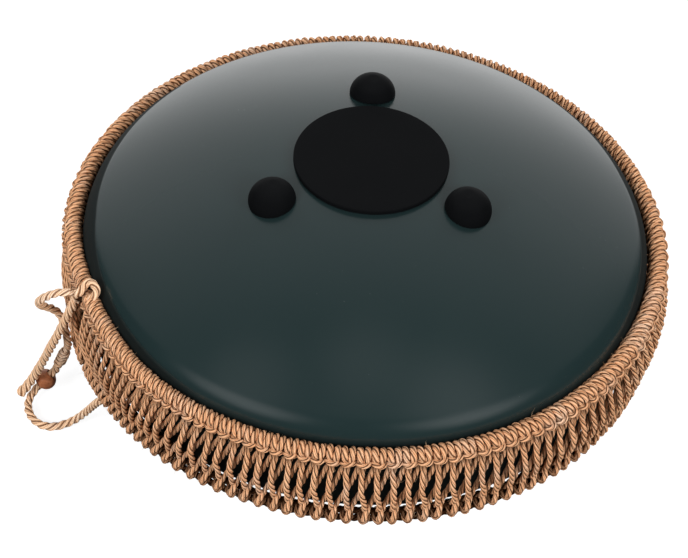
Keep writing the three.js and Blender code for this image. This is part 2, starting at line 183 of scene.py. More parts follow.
def juteMaterial(name, j):
    mat, tree, shader, place = newMaterial(name)
    run = node(tree, "UVMap", uv_map="ropeRun").outputs[0]
    tint = node(tree, "Attribute", attribute_name="tint").outputs["Fac"]
    shade = node(tree, "Attribute", attribute_name="shade").outputs["Fac"]
    parts = node(tree, "SeparateXYZ", {0: run})
    along = calc(tree, "DIVIDE", parts.outputs[0], j["fibreLength"])
    around = times(tree, parts.outputs[1], j["fibresRound"])
    own = times(tree, tint, 40.0)
    fibre = node(tree, "CombineXYZ", {0: along, 1: around, 2: own}).outputs[0]
    streak = grain(tree, fibre, 1.0, 4.0, 0.62)
    coarse = grain(tree, fibre, 0.33, 2.0, 0.5)
    blotch = grain(tree, place, 48.0, 3.0, 0.6)
    # one on a strand's or yarn's crest, zero in the groove beside it
    inStrand = calc(tree, "FRACT", times(tree, parts.outputs[1], j["strands"]))
    crest = times(tree, calc(tree, "ABSOLUTE", calc(tree, "SUBTRACT", inStrand, 0.5)), 2.0)
    wander = times(tree, coarse, 0.5)
    wander = calc(tree, "ADD", times(tree, parts.outputs[1], j["yarns"]), wander)
    yarn = calc(tree, "ABSOLUTE", calc(tree, "SINE", times(tree, wander, math.pi)))
    colour = blendColour(tree, remap(tree, streak, *j["streaks"]), j["middle"], j["light"])
    # the cord's own tone comes first, then the painted shade in the yarn and strand grooves
    for pattern, share, over in (
        (coarse, "patches", "dark"), (blotch, "blotches", "pale"), (tint, "cordTint", "dark"),
        (yarn, "yarnGrooveShade", "dark"), (crest, "strandGrooveShade", "deepShade"),
    ):
        colour = blendColour(tree, remap(tree, pattern, *j[share]), colour, j[over])
    # painted shade: the shade attribute darkens hidden turns towards the deep shade colour
    colour = blendColour(tree, shade, colour, j["deepShade"])
    rough = remap(tree, streak, 0.25, 0.75, *j["roughness"])
    relief = calc(tree, "ADD", times(tree, streak, 0.7), yarn)
    dress(tree, shader, colour, rough, bumpOf(tree, relief, j["fibreDepth"], 0.9))
    shader.inputs["Specular IOR Level"].default_value = 0.02
    return mat


# the same rope with the deep shade under the net painted into its colours, and the paler rope of the tie
paintedShadeJute = {
    "light": (0.06, 0.025, 0.011, 1), "middle": (0.035, 0.014, 0.006, 1), "dark": (0.015, 0.006, 0.003, 1),
    "deepShade": (0.006, 0.003, 0.002, 1), "pale": (0.08, 0.035, 0.016, 1),
}
paleJute = {
    "light": (1.0, 0.80, 0.60, 1), "middle": (1.0, 0.58, 0.31, 1), "dark": (0.55, 0.25, 0.11, 1),
    "deepShade": (0.14, 0.05, 0.018, 1), "pale": (1.0, 0.88, 0.75, 1),
}
juteRope = juteMaterial("juteRope", jute)
juteTie = juteMaterial("juteTie", {**jute, **paleJute})
juteShaded = juteMaterial("juteShaded", {**jute, **paintedShadeJute})


# rope making: a smooth line through points, evenly spaced, with a three-strand section twisted along it
def smoothLine(points, extra=None, fine=10):
    p = np.asarray(points, float)
    p = np.vstack([2 * p[0] - p[1], p, 2 * p[-1] - p[-2]])
    a, b, c, d = p[:-3], p[1:-2], p[2:-1], p[3:]
    step = [np.sqrt(np.linalg.norm(y - x, axis=1))[:, None] for x, y in ((a, b), (b, c), (c, d))]
    out = ((b - a) / step[0] - (c - a) / (step[0] + step[1]) + (c - b) / step[1]) * step[1]
    into = ((c - b) / step[1] - (d - b) / (step[1] + step[2]) + (d - c) / step[2]) * step[1]
    t = np.linspace(0, 1, fine, endpoint=False)[None, :, None]
    b, c, out, into = (x[:, None, :] for x in (b, c, out, into))
    line = (2 * t**3 - 3 * t**2 + 1) * b + (t**3 - 2 * t**2 + t) * out
    line = line + (3 * t**2 - 2 * t**3) * c + (t**3 - t**2) * into
    line = np.vstack([line.reshape(-1, p.shape[1]), p[-2]])
    if extra is None:
        return line
    at = np.arange(len(line)) / fine
    return line, np.stack([np.interp(at, np.arange(len(points)), e) for e in extra.T], 1)


def runOf(line):
    return np.concatenate([[0], np.cumsum(np.linalg.norm(np.diff(line, axis=0), axis=1))])


def evenLine(line, spacing, extra=None):
    run = runOf(line)
    count = max(4, int(math.ceil(run[-1] / spacing)))
    at = np.linspace(0, run[-1], count + 1)
    even = np.stack([np.interp(at, run, line[:, k]) for k in range(3)], 1)
    if extra is None:
        return even, at
    return even, at, np.stack([np.interp(at, run, e) for e in extra.T], 1)


def carriedFrame(line):
    ahead = np.gradient(line, axis=0)
    ahead /= np.linalg.norm(ahead, axis=1)[:, None]
    side = np.empty_like(line)
    first = np.cross(ahead[0], (0.31, 0.86, 0.4))  # a way that no cord starts
    side[0] = first / np.linalg.norm(first)
    for k in range(1, len(line)):
        v = side[k - 1] - ahead[k] * (side[k - 1] @ ahead[k])
        side[k] = v / np.linalg.norm(v)
    return side, np.cross(ahead, side)


def strandSection(sides, plump):
    angle = 2 * np.pi * np.arange(sides) / sides
    lobe = (angle + np.pi / 3) % (2 * np.pi / 3) - np.pi / 3
    offset = 1 - plump
    return angle, offset * np.cos(lobe) + np.sqrt(plump**2 - (offset * np.sin(lobe)) ** 2)


def ropeTube(line, run, radius, twist, phase=0.0, sides=12, plump=0.57):
    angle, reach = strandSection(sides, plump)
    side, lift = carriedFrame(line)
    wound = np.cumsum(np.gradient(run) / twist)
    turn = angle[None, :] + (2 * np.pi * wound + phase)[:, None]
    span = reach[None, :] * radius[:, None]
    points = line[:, None, :] + (span * np.cos(turn))[:, :, None] * side[:, None, :]
    return points + (span * np.sin(turn))[:, :, None] * lift[:, None, :]


class PieceMesh:
    def __init__(self, name):
        self.name = name
        self.points, self.quads, self.caps = [], [], []
        self.runs, self.rows, self.tints, self.shades = [], [], [], []
        self.count = 0

    # adds one closed tube, given as rings of points
    def addTube(self, rings, run, tint=0.5, shade=0.0):
        stations, sides = rings.shape[:2]
        base = self.count + np.arange(stations)[:, None] * sides
        here = np.arange(sides)[None, :]
        following = (here + 1) % sides
        a, b = base[:-1], base[1:]
        quad = np.stack([a + here, a + following, b + following, b + here], -1)
        self.quads.append(quad.reshape(-1, 4))
        low, high = (here / sides + 0 * a), ((here + 1) / sides + 0 * a)
        start, end = run[:-1, None] + 0 * low, run[1:, None] + 0 * low
        corners = ((start, low), (start, high), (end, high), (end, low))
        corners = np.stack([np.stack(pair, -1) for pair in corners], 2)
        self.runs.append(corners.reshape(-1, 4, 2))
        self.rows.append(np.full(len(self.quads[-1]), len(self.points)))
        self.caps += [base[0] + np.arange(sides)[::-1], base[-1] + np.arange(sides)]
        self.points.append(rings.reshape(-1, 3))
        self.tints.append(np.full(stations * sides, tint))
        self.shades.append(np.repeat(np.zeros(stations) + shade, sides))
        self.count += stations * sides

    def build(self, material):
        points = np.vstack(self.points) * mm
        quads = np.vstack(self.quads)
        runs = np.vstack(self.runs)
        loops = np.concatenate([quads.ravel(), *self.caps]).astype(np.int32)
        sizes = np.concatenate([np.full(len(quads), 4), [len(c) for c in self.caps]]).astype(np.int32)
        starts = np.concatenate([[0], np.cumsum(sizes)[:-1]]).astype(np.int32)
        mesh = bpy.data.meshes.new(self.name)
        mesh.vertices.add(len(points))
        mesh.vertices.foreach_set("co", points.astype(np.float32).ravel())
        mesh.loops.add(len(loops))
        mesh.loops.foreach_set("vertex_index", loops)
        mesh.polygons.add(len(sizes))
        mesh.polygons.foreach_set("loop_start", starts)
        mesh.update(calc_edges=True)
        mesh.shade_smooth()
        walls = quads.size
        plain = np.zeros((len(loops), 2), np.float32)
        plain[:walls, 0] = runs[:, :, 0].ravel() * mm
        plain[:walls, 1] = runs[:, :, 1].ravel()
        mesh.uv_layers.new(name="ropeRun").data.foreach_set("uv", plain.ravel())
        # one strip per rope for a baked picture, with a margin at its ends and between strips
        row = np.concatenate(self.rows)
        longest = runs[:, :, 0].max()
        strip = np.zeros((len(loops), 2), np.float32)
        strip[:walls, 0] = (0.005 + 0.99 * runs[:, :, 0] / longest).ravel()
        strip[:walls, 1] = ((row[:, None] + 0.06 + 0.88 * runs[:, :, 1]) / len(self.points)).ravel()
        mesh.uv_layers.new(name="OFBake").data.foreach_set("uv", strip.ravel())
        for key, values in (("tint", self.tints), ("shade", self.shades)):
            made = mesh.attributes.new(key, "FLOAT", "POINT")
            made.data.foreach_set("value", np.concatenate(values).astype(np.float32))
        mesh.materials.append(material)
        mesh.validate()
        return addObject(self.name, mesh)


ropeLines = []  # each rope's line, its radius and its share of the loose fibres


def layRope(mesh, line, run, radius, twist, phase=0.0, tint=0.5, shade=0.0, fuzz=0.0):
    radius = radius + np.zeros(len(run))
    mesh.addTube(ropeTube(line, run, radius, twist, phase), run, tint, shade)
    if fuzz:
        ropeLines.append((line, radius, fuzz))


def settle(piece, body, slotName, *nodes):
    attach(piece, body)
    if nodes:
        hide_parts(*nodes)
    return piece


# the tie on the left: x points outward from the upper ring, y along it, z is height (millimetres)
tie = {
    "angle": math.radians(202.9),
    "ringRadius": 158.196,
    "cordRadius": 2.3,
    "tailRadius": 2.6,
    "twist": -15.0,
    "spacing": 0.8,
    "uneven": 0.05,
    "flare": (0.2, 14.0),
    "blunt": 1.6,
    "tint": 0.2,
    "fuzz": 1.6,
    "knotMiddle": (0.2, 0, 96.895),
    "knotReach": 6.8,
    "stopperMiddle": (9.7, -17, 34),
    "stopperAxis": (4, -7.2, -20.3),
    "beadMiddle": (18.4, -22.9, 12.7),
    "beadAxis": (5.9, -0.5, -6),
}


def unit(vector):
    v = np.asarray(vector, float)
    return v / np.linalg.norm(v)


tieOut = np.array((math.cos(tie["angle"]), math.sin(tie["angle"]), 0))
tieAlong = np.array((-math.sin(tie["angle"]), math.cos(tie["angle"]), 0))
stopperMiddle, stopperAxis = np.array(tie["stopperMiddle"]), unit(tie["stopperAxis"])
beadMiddle, beadAxis = np.array(tie["beadMiddle"]), unit(tie["beadAxis"])


def fromTie(points):
    p = np.asarray(points, float)
    return (p[:, :1] + tie["ringRadius"]) * tieOut + p[:, 1:2] * tieAlong + p[:, 2:3] * (0, 0, 1)


def knotExit(along, degrees):
    out, _, height = tie["knotMiddle"]
    turn = math.radians(degrees)
    return (out + tie["knotReach"] * math.cos(turn), along, height + tie["knotReach"] * math.sin(turn))


def alongStopper(distance):
    return tuple(stopperMiddle + distance * stopperAxis)


def alongBead(distance):
    return tuple(beadMiddle + distance * beadAxis)


tieRoutes = {
    "loop": [
        knotExit(-2.8, 7), (10, -3.6, 98), (13.2, -4.9, 97.2), (16.3, -6.8, 94.9), (19.2, -9.3, 91.2),
        (21, -12.2, 86.4), (20.4, -14.9, 81), (17.2, -16.7, 76.7), (13.5, -17.7, 72.9), (10.4, -17.5, 69.1),
        (8.7, -15.9, 65.2), (8.2, -13.3, 61.2), (8, -11.3, 57.2), (7.6, -11, 52.2), alongStopper(-13),
        alongStopper(-9.8),
    ],
    "tail": [
        knotExit(-3.4, -59), (5.9, -3.4, 86), (10.1, -4.6, 75), (13.7, -6.6, 64), (17.1, -10.2, 52),
        (20.8, -15.6, 36), (25.2, -19.8, 21.5), (29.6, -21.2, 13), (34.9, -20, 8.8),
    ],
    "drawstring": [
        alongStopper(9.8), alongStopper(12), (13.4, -22.1, 18.4), alongBead(-4), tie["beadMiddle"],
        alongBead(4.2), (24.4, -22.6, 7.1), (27.5, -21, 5.1), (30, -18.3, 3.6), (31.5, -14.2, 2.8),
        (31.7, -8.7, 2.7), (30.2, -3.5, 2.7), (27, 0.7, 2.7), (22.3, 3.1, 2.7), (16.5, 3.6, 2.9),
        (10.8, 4.4, 5.2), (6.1, 7.2, 11.6), (2.8, 13.1, 22.5), (0.7, 20.4, 34.231), (-0.7, 23.2, 37.831),
        (-2.2, 25.2, 40.281),
    ],
}


def roundedEnd(run, radius, length):
    near = np.clip((run[-1] - run) / length, 0, 1)
    return radius * np.sqrt(np.maximum(0.06, 1 - (1 - near) ** 2))


def unevenness(run, amount, seed):
    local = np.random.default_rng(seed)
    knots = np.linspace(run[0], run[-1], max(3, int(run[-1] / 7)))
    return 1 + amount * np.interp(run, knots, local.uniform(-1, 1, len(knots)))


def tieCord(name, route, cordRadius, seed, blunt=False):
    line, run = evenLine(smoothLine(fromTie(route)), tie["spacing"])
    radius = cordRadius * unevenness(run, tie["uneven"], seed)
    if blunt:
        grown, length = tie["flare"]
        flare = 1 + grown * np.clip(1 - (run[-1] - run) / length, 0, 1)
        radius = roundedEnd(run, radius * flare, tie["blunt"])
    mesh = PieceMesh(name)
    layRope(mesh, line, run, radius, tie["twist"], seed, tie["tint"], fuzz=tie["fuzz"])
    return mesh.build(juteTie), line


tieLoop, loopLine = tieCord("tieLoopCord", tieRoutes["loop"], tie["cordRadius"], 3)
tieTail, tailLine = tieCord("tieTailCord", tieRoutes["tail"], tie["tailRadius"], 5, blunt=True)
tieDrawstring, drawstringLine = tieCord("tieDrawstring", tieRoutes["drawstring"], tie["cordRadius"], 7)
settle(tieLoop, "drum", "jute", "tie_loop_cord")
settle(tieTail, "drum", "jute", "tie_tail_cord")
settle(tieDrawstring, "drum", "jute", "tie_drawstring")

# main knot: the tail's cord arches over the loop's, round a core of crossed turns
tieKnot = {
    "middle": (-1.6, 1.6, 96.6), "size": 0.85, "thick": 1.6, "cordRadius": 1.7,
    "lean": math.radians(48), "spin": math.radians(20),
    "arch": [
        (4.3, -3.4, 90.2), (4.2, -3.2, 92.6), (3.9, -1.4, 96.6), (2.2, 0.9, 100.2), (-1.5, -1, 102.7),
        (-4.5, 0.4, 104), (-5.3, 4.6, 103.4), (-4, 7.2, 101.6), (-1.6, 6, 99), (-1.4, 3, 96.6),
    ],
    "under": [
        (7.4, -2.85, 97.8), (5.4, -2.5, 97.3), (2.4, -1.8, 96.6), (-1, 0, 97), (-3.2, 3, 98),
        (-2.4, 5.4, 96),
    ],
    # the knot's core and the under cord get painted shade
    "archRadius": 2.25, "underRadius": 2.1, "corePaintedShade": 0.6, "underPaintedShade": 0.15, "phase": 1.2,
}


def knotLine(k):
    t = np.linspace(0, 2 * np.pi, 160) + 0.4
    flat = np.stack([np.sin(t) + 2 * np.sin(2 * t), np.cos(t) - 2 * np.cos(2 * t)], 1) * k["size"]
    spun = np.stack([flat[:, 0] * math.cos(k["spin"]) - flat[:, 1] * math.sin(k["spin"]),
                     flat[:, 0] * math.sin(k["spin"]) + flat[:, 1] * math.cos(k["spin"])], 1)
    depth = -np.sin(3 * t) * k["thick"]
    facing = np.array((math.cos(k["lean"]), 0, math.sin(k["lean"])))
    upward = np.array((-math.sin(k["lean"]), 0, math.cos(k["lean"])))
    local = spun[:, :1] * (0, 1, 0) + spun[:, 1:] * upward + depth[:, None] * facing
    return fromTie(local + np.array(k["middle"]))


knotMesh = PieceMesh("tieKnotRope")
for strand, cordRadius, paintedShade in (
    (knotLine(tieKnot), tieKnot["cordRadius"], tieKnot["corePaintedShade"]),
    (smoothLine(fromTie(tieKnot["arch"])), tieKnot["archRadius"], 0.0),
    (smoothLine(fromTie(tieKnot["under"])), tieKnot["underRadius"], tieKnot["underPaintedShade"]),
):
    line, run = evenLine(strand, tie["spacing"])
    layRope(knotMesh, line, run, cordRadius, tie["twist"], tieKnot["phase"], tie["tint"], paintedShade, tie["fuzz"])
settle(knotMesh.build(juteTie), "drum", "jute", "tie_knot")

# stopper knot above the bead: the cord wound round itself
stopper = {
    "turns": 5, "coilRadius": 1.9, "length": 17.4, "cordRadius": 1.5, "twist": -10.0, "tint": 0.6,
    "coreRadius": 1.8, "coreHalf": 9.4, "coreTint": 0.4,
}


def stopperKnot(s):
    across = unit(np.cross(stopperAxis, (0, 0, 1)))
    upward = np.cross(across, stopperAxis)
    t = np.linspace(0, 1, 180)
    angle = 2 * np.pi * s["turns"] * t
    coil = s["coilRadius"] * np.minimum(1, np.minimum(t, 1 - t) * 9 + 0.15)  # narrow at both ends
    local = stopperMiddle + ((t - 0.5) * s["length"])[:, None] * stopperAxis
    local = local + (coil * np.cos(angle))[:, None] * across + (coil * np.sin(angle))[:, None] * upward
    mesh = PieceMesh("stopperKnot")
    line, run = evenLine(fromTie(local), tie["spacing"])
    layRope(mesh, line, run, s["cordRadius"], s["twist"], tint=s["tint"], fuzz=tie["fuzz"])
    core = stopperMiddle + np.linspace(-s["coreHalf"], s["coreHalf"], 24)[:, None] * stopperAxis
    line, run = evenLine(fromTie(core), tie["spacing"])
    layRope(mesh, line, run, s["coreRadius"], tie["twist"], tint=s["coreTint"])
    return mesh.build(juteTie)


stopperPiece = settle(stopperKnot(stopper), "drum", "jute", "tie_stopper_knot")

# turned wooden bead on the drawstring
bead = {
    "radius": 5.8, "bore": 2.65, "flat": 0.93, "chamfer": (0.35, 0.25), "segments": 64, "steps": 28,
    "light": (0.52, 0.19, 0.08, 1), "dark": (0.25, 0.075, 0.03, 1), "pore": (0.05, 0.014, 0.006, 1),
    "ringScale": (90, 420, 420), "poreScale": (300, 2600, 2600),
}
beadAlong = Vector(beadAxis[0] * tieOut + beadAxis[1] * tieAlong + beadAxis[2] * np.array((0, 0, 1)))


def woodMaterial(b):
    mat, tree, shader, place = newMaterial("beadWood")
    turn = beadAlong.to_track_quat("X", "Z").to_euler()

    def turned(scale):
        return node(tree, "Mapping", {"Vector": place, "Rotation": turn, "Scale": scale}).outputs[0]

    rings = grain(tree, turned(b["ringScale"]), 1.0, 5.0, 0.6)
    pores = grain(tree, turned(b["poreScale"]), 1.0, 2.0)
    colour = blendColour(tree, remap(tree, rings, 0.32, 0.68, 0, 1), b["light"], b["dark"])
    colour = blendColour(tree, remap(tree, pores, 0.58, 0.72, 0, 0.7), colour, b["pore"])
    rough = remap(tree, rings, 0.3, 0.7, 0.34, 0.5)
    dress(tree, shader, colour, rough, bumpOf(tree, pores, 0.00008, 0.6))
    shader.inputs["Coat Weight"].default_value = 0.25
    shader.inputs["Coat Roughness"].default_value = 0.25
    return mat


sharpAngle = math.radians(32)


def meshOf(name, made):
    bmesh.ops.recalc_face_normals(made, faces=made.faces)
    mesh = bpy.data.meshes.new(name)
    made.to_mesh(mesh)
    made.free()
    return mesh


# section: radius and height in millimetres, run once round the outline
def turnedPiece(name, section, segments, material, place=None):
    made = bmesh.new()
    rings = []
    for radius, height in section:
        if radius < 1e-6:
            rings.append([made.verts.new((0, 0, height * mm))])
            continue
        angles = (2 * math.pi * k / segments for k in range(segments))
        spots = ((radius * math.cos(a) * mm, radius * math.sin(a) * mm, height * mm) for a in angles)
        rings.append([made.verts.new(spot) for spot in spots])
    pairs = list(zip(rings, rings[1:]))
    if len(rings[0]) > 1 and len(rings[-1]) > 1:
        pairs.append((rings[-1], rings[0]))
    for low, high in pairs:
        for k in range(segments):
            n = (k + 1) % segments
            if len(low) == 1:
                made.faces.new((low[0], high[n], high[k]))
            elif len(high) == 1:
                made.faces.new((low[k], low[n], high[0]))
            else:
                made.faces.new((low[k], low[n], high[n], high[k]))
    if place is not None:
        bmesh.ops.transform(made, matrix=place, verts=made.verts)
    mesh = meshOf(name, made)
    mesh.shade_smooth()
    mesh.set_sharp_from_angle(angle=sharpAngle)
    mesh.materials.append(material)
    return addObject(name, mesh)


def beadSection(b):
    reach = math.acos((b["bore"] + b["chamfer"][0]) / b["radius"])
    outer = [reach - 2 * reach * k / b["steps"] for k in range(b["steps"] + 1)]
    ball = [(b["radius"] * math.cos(a), b["radius"] * b["flat"] * math.sin(a)) for a in outer]
    end = ball[0][1] - b["chamfer"][1]
    return ball + [(b["bore"], -end), (b["bore"], end)]


beadTurn = beadAlong.to_track_quat("Z", "Y").to_matrix().to_4x4()
beadPlace = Matrix.Translation(Vector(fromTie([beadMiddle])[0]) * mm) @ beadTurn
beadPiece = turnedPiece("woodBead", beadSection(bead), bead["segments"], woodMaterial(bead), beadPlace)
settle(beadPiece, "drum", "bead_wood", "tie_bead")

print("tie made")

# rope net of folded cords: each has a lark's head above, two crossing legs and turns on the lower ring
net = {
    "upperRadius": 158.196, "upperHeight": 91.695,
    "lowerRadius": 157.296, "lowerHeight": 46.195,
    "cords": (14, 12, 11, 11, 11, 10, 10, 10, 10, 10, 11, 12), "usual": 10, "gap": math.radians(2.6),
    "lay": (-13.5, -14.0), "spacing": 0.85, "lead": 0.3, "reach": 2, "footPlay": 0.8, "headDepth": 4.0,
    "wrapRadius": 1.95, "barRadius": 1.5, "legRadius": 1.52, "footRadius": 1.62, "turnRadius": 1.3,
    "uneven": 0.07, "jitter": 0.09, "seeds": {"cord": 400, "foot": 700, "thick": 900, "tint": 60},
    # the legs bow out over the seam and the lower ring hangs aslant
    "bow": (3.6, 1.0), "slant": 4.4,
    # the tie pulls the upper ring in and up, and gathers the foot of the net
    "pull": (-1.5, 3.6), "pullReach": math.radians(24), "gather": 14.0, "gatherReach": math.radians(22),
}
panelAngle = (2 * math.pi - net["gap"]) / len(net["cords"])
pitch = panelAngle / net["usual"] * net["upperRadius"]
# each cord's panel, angle and width; they lie closest near the tie
netCords = [
    (panel, tie["angle"] + net["gap"] / 2 + panelAngle * (panel + (k + 0.5) / count), net["usual"] / count)
    for panel, count in enumerate(net["cords"])
    for k in range(count)
]
netDrop = net["lowerHeight"] - net["upperHeight"]
netInward = net["lowerRadius"] - net["upperRadius"]


def halfTurn(angle):
    return (angle + np.pi) % (2 * np.pi) - np.pi


# places along, outward and up from the upper ring, as the net lies on the drum
def roundDrum(turn, outward, up):
    depth = np.clip((-up - net["headDepth"]) / (-netDrop - net["headDepth"]), 0, 1)
    away = halfTurn(turn - tie["angle"])
    near = away / net["gatherReach"]
    turn = turn - net["gather"] / net["upperRadius"] * depth * near * np.exp((1 - near**2) / 2)
    swell = (net["bow"][0] + net["bow"][1] * np.cos(turn)) * np.sin(np.pi * depth)
    pull = (1 - np.clip(np.abs(away) / net["pullReach"], 0, 1) ** 2) ** 2 * (1 - depth)
    reach = net["upperRadius"] + outward + swell + pull * net["pull"][0]
    height = net["upperHeight"] + up + depth * net["slant"] * np.cos(turn) ** 3 + pull * net["pull"][1]
    return np.stack([reach * np.cos(turn), reach * np.sin(turn), height], 1)


def footShift(index):
    width = netCords[index][2]
    play = np.random.default_rng(net["seeds"]["foot"] + index % len(netCords)).uniform(-1, 1)
    return (net["lead"] * pitch + net["footPlay"] * play) * width


# points of one folded cord: along the ring, outward, up, the cord's radius and the painted shade it gets
# where it is hidden from light
def unitPoints(index):
    local = np.random.default_rng(net["seeds"]["cord"] + index)
    _, angle, width = netCords[index]
    slim = width**0.5
    wrap, bar, leg = net["wrapRadius"] * slim, net["barRadius"] * slim, net["legRadius"]
    heel, low = net["footRadius"], net["turnRadius"] * slim
    foot = footShift(index)
    back = halfTurn(netCords[index - net["reach"]][1] - angle)
    far = footShift(index - net["reach"]) + back * net["upperRadius"]
    sag, tilt, bow = (local.uniform(-amount, amount) for amount in (0.3, 0.3, 0.8))

    # a place by the lower ring
    def down(at, aside, out, up, radius, paintedShade=0.0):
        return (at + aside * width, out + netInward, up + netDrop, radius, paintedShade)

    frontLeg = [
        down(foot, -1.2, -0.6, -2.8, low, 0.9), down(foot, -1.6, -2.9, -1.0, low, 0.9),
        down(foot, -1.2, -2.9, 1.8, low, 0.8), down(foot, -0.5, -1.2, 4.0, leg, 0.5),
        down(foot, -0.1, 0.6, 6.8, leg, 0.15), down(foot, -0.4, 1.9, 11, leg),
        down(foot, -1.1 + 0.3 * bow, 2.6, 17, leg), (0.1 + bow, 2.8, -21, leg, 0),
        (-0.35 + 0.6 * bow, 2.5, -13, leg, 0), (-0.35, 2.2, -7.6, leg, 0.1), (0.15, 2.2, -4.6, leg, 0.6),
    ]

    def headSide(sign):
        turned = tilt * sign
        aside = sign * width
        return [
            (aside * 1.0, 1.7, -2.0, wrap - 0.45, 0.9), (aside * 1.45, 2.6, 0.5, wrap - 0.25, 0.25),
            (aside * 1.9, 2.5, 2.5, wrap - 0.05, 0), (aside * 2.1, 0.1, 3.85, wrap, 0),
            (aside * 2.2, -3.1, 2.6, wrap - 0.1, 0.3), (aside * 2.6, -4.4, -0.2, wrap - 0.3, 0.97),
            (aside * 3.1, -2.2, -3.1, bar - 0.1, 0.95), (aside * 3.3, 1.0, -2.2 + turned, bar - 0.1, 0.85),
            (aside * 2.9, 3.3, -0.4 + turned, bar, 0.2),
            (aside * 1.7, 4.4, -0.4 + turned + 0.6 * sag, bar, 0),
        ]

    backLeg = [(-1.9, 1.7, -4.6, leg, 0.6), (-2.6, 0.9, -7.2, leg, 0.2)]
    for share, slid, depth in ((0.2, 0.16, -0.8), (0.46, 0.4, -1.6), (0.72, 0.66, -1.2)):
        beside = -2.6 + slid * (far + 2.6) + 0.5 * bow
        backLeg.append((beside, depth, -7.2 + share * (netDrop + 14), leg, 0.1))
    backLeg += [
        down(far, 1.9, 0.6, 8.8, leg), down(far, 0.9, 2.8, 5.0, heel), down(far, 0.2, 4.1, 2.2, heel),
        down(far, 0, 3.4, 0, low + 0.2, 0.1),
    ]
    # the turn round the lower ring and the bight that ends the cord
    backLeg += [down(far, aside, out, up, low, paintedShade) for aside, out, up, paintedShade in (
        (0, 0.6, -2.6, 0.8), (0.4, -2.2, -2.6, 0.9), (1.3, -3.4, 0.6, 0.9), (2.1, -2.0, 3.0, 0.8),
        (2.5, 0.6, 2.6, 0.85), (2.3, 2.4, 0.8, 0.65), (1.4, 3.6, -1.0, 0.5), (0, 4.1, -1.6, 0.42),
        (-1.4, 3.6, -1.0, 0.5), (-2.3, 2.4, 0.8, 0.65), (-2.5, 0.6, 2.6, 0.85), (-2.1, -2.0, 3.0, 0.9),
    )]
    middle = [(0, 4.7, -0.5 + sag, bar, 0)]
    points = np.array(frontLeg + headSide(1) + middle + headSide(-1)[::-1] + backLeg)
    points[:, :3] += local.normal(0, net["jitter"], (len(points), 3))
    return points


def ropePanel(panel):
    mesh = PieceMesh(f"netPanel{panel + 1:02d}")
    for index, (home, angle, _) in enumerate(netCords):
        if home != panel:
            continue
        points = unitPoints(index)
        placed = roundDrum(angle + points[:, 0] / net["upperRadius"], points[:, 1], points[:, 2])
        line, kept = smoothLine(placed, points[:, 3:], 8)
        line, run, kept = evenLine(line, net["spacing"], kept)
        radius = kept[:, 0] * unevenness(run, net["uneven"], net["seeds"]["thick"] + index)
        lay = np.where(line[:, 2] > net["upperHeight"] - net["headDepth"], *net["lay"])
        tint = np.random.default_rng(net["seeds"]["tint"] + index).uniform(0, 1)
        layRope(mesh, line, run, radius, lay, index * 1.7, tint, kept[:, 1], 1.0)
    return mesh.build(juteRope)


for panel in range(len(net["cords"])):
    settle(ropePanel(panel), "drum", "jute", f"net_panel_{panel + 1:02d}")
print("net made, cords", len(netCords))

# ring cords inside the knots: one turn above, and three below that close in on the shell but for the front;
# the three below are drawn in jute with painted shade
ringCord = {
    "radius": 2.0, "twist": -12.0, "spacing": 1.2, "gap": math.radians(1.6),
    "lowerStart": math.radians(-55), "lowerTurns": 3.05, "joins": (0.95, 1.95), "ease": 0.1,
    # outward and up: the first turn's place and the steps to the next two
    "sink": (1.3, -1.2), "second": (-2.2, 4.0), "third": (-2.2, 3.4),
    "front": math.radians(272), "open": (math.radians(20), math.radians(38)),
}


def eased(value):
    v = np.clip(value, 0, 1)
    return v * v * (3 - 2 * v)


def ringRope(name, outward, up, start, turns, material):
    c = ringCord
    share = np.linspace(0, 1, 1400)
    angle = start + 2 * math.pi * turns * share
    if turns > 1:
        second, third = (eased((share * turns - join) / c["ease"]) for join in c["joins"])
        aside = np.abs(halfTurn(angle - c["front"]))
        third = third * eased((aside - c["open"][0]) / (c["open"][1] - c["open"][0]))
        outward = outward + c["sink"][0] + (second * c["second"][0] + third * c["third"][0])
        up = up + c["sink"][1] + (second * c["second"][1] + third * c["third"][1])
    line, run = evenLine(roundDrum(angle, outward, up), c["spacing"])
    mesh = PieceMesh(name)
    layRope(mesh, line, run, c["radius"], c["twist"])
    return mesh.build(material)


upperStart = tie["angle"] + ringCord["gap"]
upperTurns = 1 - ringCord["gap"] / math.pi
upperCord = ringRope("upperRingCord", 0, 0, upperStart, upperTurns, juteRope)
lowerStart = tie["angle"] + ringCord["lowerStart"]
lowerCord = ringRope("lowerRingCord", netInward, netDrop, lowerStart, ringCord["lowerTurns"], juteShaded)
settle(upperCord, "drum", "jute", "upper_ring_cord")
settle(lowerCord, "drum", "jute", "lower_ring_cord")


# stray fibres that stand off the ropes
fibre = {
    "perMetre": 85, "length": (2.0, 7.0), "thick": 0.075, "lean": 1.4, "curl": 0.7, "steps": 6, "seed": 21,
    "dull": (0.62, 0.38, 0.2, 1), "bright": (0.86, 0.62, 0.4, 1),
}


